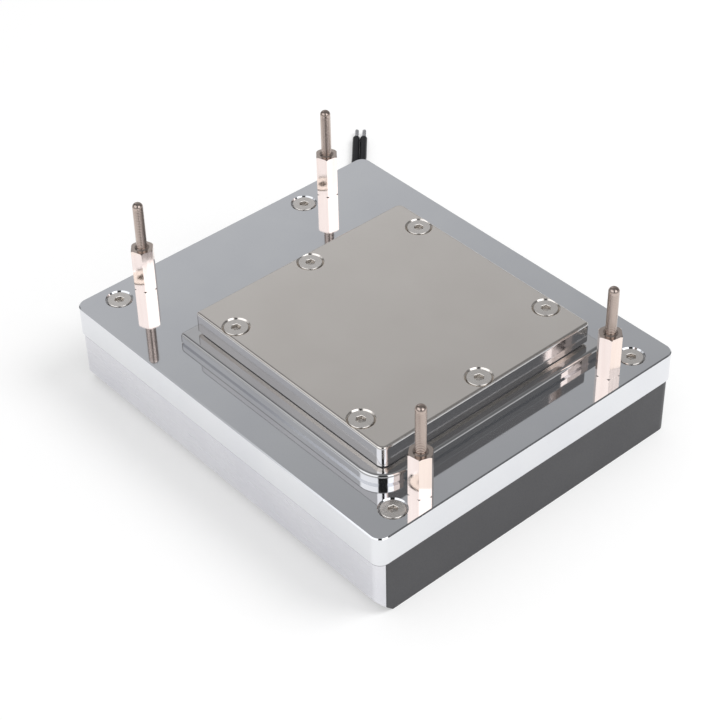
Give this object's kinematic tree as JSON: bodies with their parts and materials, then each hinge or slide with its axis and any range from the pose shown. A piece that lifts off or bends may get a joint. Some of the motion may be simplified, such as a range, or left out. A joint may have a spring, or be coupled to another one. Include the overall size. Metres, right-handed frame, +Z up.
{
  "type": "liquid cooling cold plate",
  "caption": "Rectangular liquid cold plate: polished base plate, raised screwed contact plate, hexagonal standoffs with threaded studs, dark manifold block and short power leads.",
  "frame": {"origin": "middle of the underside, on the surface it lies on; the leads and their grommet are not counted", "axes": "+Z up through the contact plate and studs, +X along the long side, away from the leads; -Y is the side with the light trim plate"},
  "size_m": [0.1398, 0.1188, 0.0457],
  "materials": {
    "nickel_plate": "mirror polished nickel plating",
    "contact_nickel": "finely brushed nickel plating",
    "tier_steel": "polished",
    "block_plastic": "fine satin",
    "trim_aluminium": "satin",
    "seal_rubber": "moulded",
    "gasket_sheet": "matt",
    "thermal_pad": "matt",
    "module_ceramic": "fired white ceramic",
    "pellet_metal": "sawn",
    "module_sealant": "silicone",
    "foam": "closed cell foam",
    "screw_steel": "turned stainless",
    "stud_steel": "rolled thread",
    "standoff_metal": "bright",
    "insert_brass": "turned",
    "collar_brass": "nickel plated",
    "lead_rubber": "silicone insulation",
    "tinned_wire": "tinned"
  },
  "bodies": {
    "root": {"base_plate": "nickel_plate", "base_screw_1": "screw_steel", "base_screw_2": "screw_steel", "base_screw_3": "screw_steel", "base_screw_4": "screw_steel", "chamber_seal": "seal_rubber", "contact_gasket": "gasket_sheet", "contact_plate": "contact_nickel", "contact_screw_1": "screw_steel", "contact_screw_2": "screw_steel", "contact_screw_3": "screw_steel", "contact_screw_4": "screw_steel", "contact_screw_5": "screw_steel", "contact_screw_6": "screw_steel", "flow_plate": "screw_steel", "front_trim": "trim_aluminium", "inlet_collar_seal": "seal_rubber", "inlet_port_collar": "collar_brass", "inner_lead_a": "lead_rubber", "inner_lead_b": "lead_rubber", "insert_1": "insert_brass", "insert_2": "insert_brass", "insert_3": "insert_brass", "insert_4": "insert_brass", "insulation_ring": "foam", "lead_grommet": "lead_rubber", "lead_tip_a": "tinned_wire", "lead_tip_b": "tinned_wire", "lower_thermal_pad": "thermal_pad", "manifold": "block_plastic", "module_lower_ceramic": "module_ceramic", "module_pellets": "pellet_metal", "module_seal": "module_sealant", "module_upper_ceramic": "module_ceramic", "outer_lead_a": "lead_rubber", "outer_lead_b": "lead_rubber", "outlet_collar_seal": "seal_rubber", "outlet_port_collar": "collar_brass", "standoff_1": "standoff_metal", "standoff_2": "standoff_metal", "standoff_3": "standoff_metal", "standoff_4": "standoff_metal", "stud_1": "stud_steel", "stud_2": "stud_steel", "stud_3": "stud_steel", "stud_4": "stud_steel", "tier_frame": "tier_steel", "upper_thermal_pad": "thermal_pad"}
  },
  "joints": []
}
